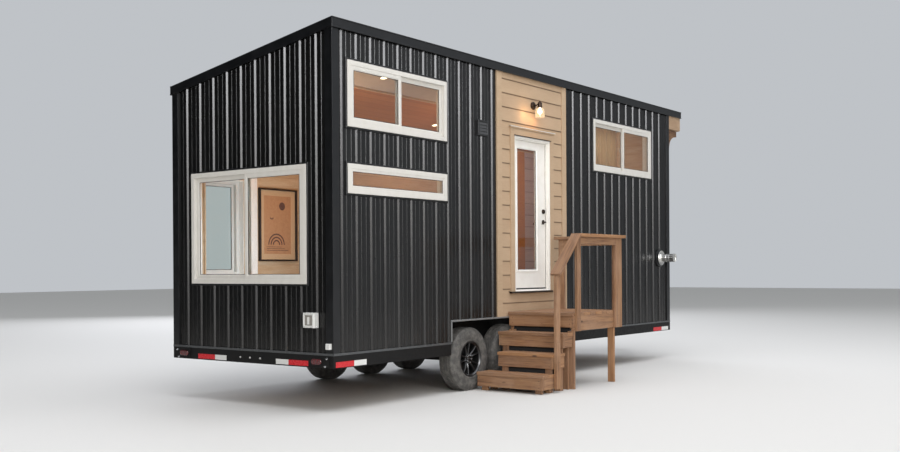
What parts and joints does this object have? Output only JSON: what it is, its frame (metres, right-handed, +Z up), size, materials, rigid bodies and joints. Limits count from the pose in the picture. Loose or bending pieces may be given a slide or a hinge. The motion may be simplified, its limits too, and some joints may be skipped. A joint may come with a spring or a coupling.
{
  "type": "tiny house",
  "caption": "Shed-roofed tiny house on a triple-axle trailer, black ribbed steel with a tan lapped entry panel, a glazed door and a timber stair.",
  "frame": {"origin": "middle of the whole outline, on the ground", "axes": "+X from the end with the large window to the hitch end, +Y from the door side to the back, +Z up"},
  "size_m": [9.355, 3.619, 4.0676],
  "materials": {
    "black_cladding": "satin",
    "black_trim": "satin",
    "tan_board": "matte",
    "white_vinyl": "satin",
    "door_paint": "satin",
    "window_glass": "gloss",
    "stained_timber": "matte",
    "pine_lining": "satin",
    "floor_boards": "satin",
    "frame_steel": "satin",
    "black_alloy": "gloss",
    "tyre_rubber": "matte",
    "black_hardware": "satin",
    "flue_steel": "satin",
    "grey_plastic": "satin",
    "linen_cloth": "matte",
    "red_lens": "gloss"
  },
  "bodies": {
    "root": {"door_wall_left": "pine_lining", "door_wall_right": "pine_lining", "door_wall_head": "pine_lining", "door_wall_foot": "pine_lining", "back_wall": "pine_lining", "rear_end_wall": "pine_lining", "front_end_wall": "pine_lining", "floor_deck": "floor_boards", "wheel_wells": "frame_steel", "door_side_cladding": "black_cladding", "back_cladding": "black_cladding", "rear_cladding": "black_cladding", "front_cladding": "black_cladding", "corner_trims": "black_trim", "roof_deck": "pine_lining", "overhang_soffit": "tan_board", "roof_sheet": "black_cladding", "roof_fascia": "black_trim", "knee_braces": "stained_timber", "entry_siding": "tan_board", "entry_trim": "tan_board", "upper_left_window": "white_vinyl", "low_left_window": "white_vinyl", "right_window": "white_vinyl", "end_window": "white_vinyl", "back_window": "white_vinyl", "window_glass": "window_glass", "door_frame": "door_paint", "porch_lamp": "black_hardware", "porch_lamp_shade": "window_glass", "louvre_vent": "black_trim", "flue_terminal": "flue_steel", "power_inlet": "grey_plastic", "tail_lights": "red_lens", "frame_side_rails": "frame_steel", "frame_main_rails": "frame_steel", "frame_crossmembers": "frame_steel", "tongue": "frame_steel", "axles": "frame_steel", "window_curtain": "linen_cloth", "steps": "stained_timber", "landing": "stained_timber", "railing_posts": "stained_timber", "hand_rails": "stained_timber"},
    "door": {"door_leaf": "door_paint", "door_glass": "window_glass", "door_bolt_and_roses": "black_hardware"},
    "lever": {"door_lever": "black_hardware"},
    "wheel_1_door_side": {"tyre_1_door_side": "tyre_rubber", "rim_1_door_side": "black_alloy"},
    "wheel_1_back_side": {"tyre_1_back_side": "tyre_rubber", "rim_1_back_side": "black_alloy"},
    "wheel_2_door_side": {"tyre_2_door_side": "tyre_rubber", "rim_2_door_side": "black_alloy"},
    "wheel_2_back_side": {"tyre_2_back_side": "tyre_rubber", "rim_2_back_side": "black_alloy"},
    "wheel_3_door_side": {"tyre_3_door_side": "tyre_rubber", "rim_3_door_side": "black_alloy"},
    "wheel_3_back_side": {"tyre_3_back_side": "tyre_rubber", "rim_3_back_side": "black_alloy"}
  },
  "joints": [
    {"name": "door_hinge", "type": "hinge", "parent": "root", "child": "door", "pos_m": [-1.1915, -0.6515, 2.174], "axis": [0, 0, 1], "range_deg": [0, 90]},
    {"name": "lever_turn", "type": "hinge", "parent": "door", "child": "lever", "pos_m": [-0.4505, -0.682, 2.097], "axis": [0, -1, 0], "range_deg": [0, 45]},
    {"name": "wheel_1_door_side_spin", "type": "hinge", "parent": "root", "child": "wheel_1_door_side", "pos_m": [-2.1625, -0.617, 0.383], "axis": [0, 1, 0], "continuous": true},
    {"name": "wheel_1_back_side_spin", "type": "hinge", "parent": "root", "child": "wheel_1_back_side", "pos_m": [-2.1625, 1.652, 0.383], "axis": [0, 1, 0], "continuous": true},
    {"name": "wheel_2_door_side_spin", "type": "hinge", "parent": "root", "child": "wheel_2_door_side", "pos_m": [-1.2985, -0.617, 0.383], "axis": [0, 1, 0], "continuous": true},
    {"name": "wheel_2_back_side_spin", "type": "hinge", "parent": "root", "child": "wheel_2_back_side", "pos_m": [-1.2985, 1.652, 0.383], "axis": [0, 1, 0], "continuous": true},
    {"name": "wheel_3_door_side_spin", "type": "hinge", "parent": "root", "child": "wheel_3_door_side", "pos_m": [-0.4345, -0.617, 0.383], "axis": [0, 1, 0], "continuous": true},
    {"name": "wheel_3_back_side_spin", "type": "hinge", "parent": "root", "child": "wheel_3_back_side", "pos_m": [-0.4345, 1.652, 0.383], "axis": [0, 1, 0], "continuous": true}
  ]
}
